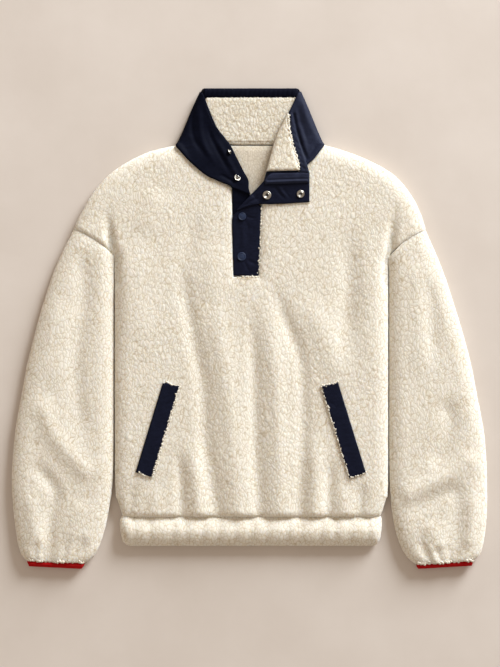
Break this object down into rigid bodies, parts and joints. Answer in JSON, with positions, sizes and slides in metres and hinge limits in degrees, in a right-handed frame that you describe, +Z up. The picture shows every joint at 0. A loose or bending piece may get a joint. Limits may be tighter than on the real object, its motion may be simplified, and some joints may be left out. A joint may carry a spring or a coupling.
{
  "type": "sherpa fleece pullover",
  "caption": "High pile cream fleece pullover laid flat, navy woven stand collar with fleece lining, half snap placket, slanted pocket welts, bound cuffs and hem band.",
  "frame": {"origin": "under the middle of the whole laid garment, on the surface that it lies on", "axes": "+Z up from the surface towards the garment's front, +Y from the hem to the collar, +X to the right of one who looks down on the front"},
  "size_m": [0.8101, 0.8162, 0.0312],
  "materials": {
    "sherpa_pile": "high pile fleece in soft clumps, cream",
    "navy_woven": "plain woven cloth, navy, faint sheen",
    "red_binding": "knitted binding, red",
    "snap_cap_navy": "painted navy, satin",
    "snap_silver": "bare metal, satin"
  },
  "bodies": {
    "root": {"back_panel": "sherpa_pile", "front_panel": "sherpa_pile", "sleeve_left": "sherpa_pile", "sleeve_right": "sherpa_pile", "hem_band": "sherpa_pile", "collar_back_lining": "sherpa_pile", "collar_lapel": "sherpa_pile", "collar_back": "navy_woven", "collar_top_facing": "navy_woven", "collar_leaf_left": "navy_woven", "collar_leaf_right": "navy_woven", "lapel_facing": "navy_woven", "placket_underlap": "navy_woven", "placket_overlap": "navy_woven", "placket_flap": "navy_woven", "flap_band": "navy_woven", "pocket_welt_left": "navy_woven", "pocket_welt_right": "navy_woven", "cuff_binding_left": "red_binding", "cuff_binding_right": "red_binding", "snap_cap_upper": "snap_cap_navy", "snap_cap_lower": "snap_cap_navy", "snap_socket_left": "snap_silver", "snap_socket_right": "snap_silver", "snap_stud_lower": "snap_silver", "snap_stud_upper": "snap_silver"}
  },
  "joints": []
}
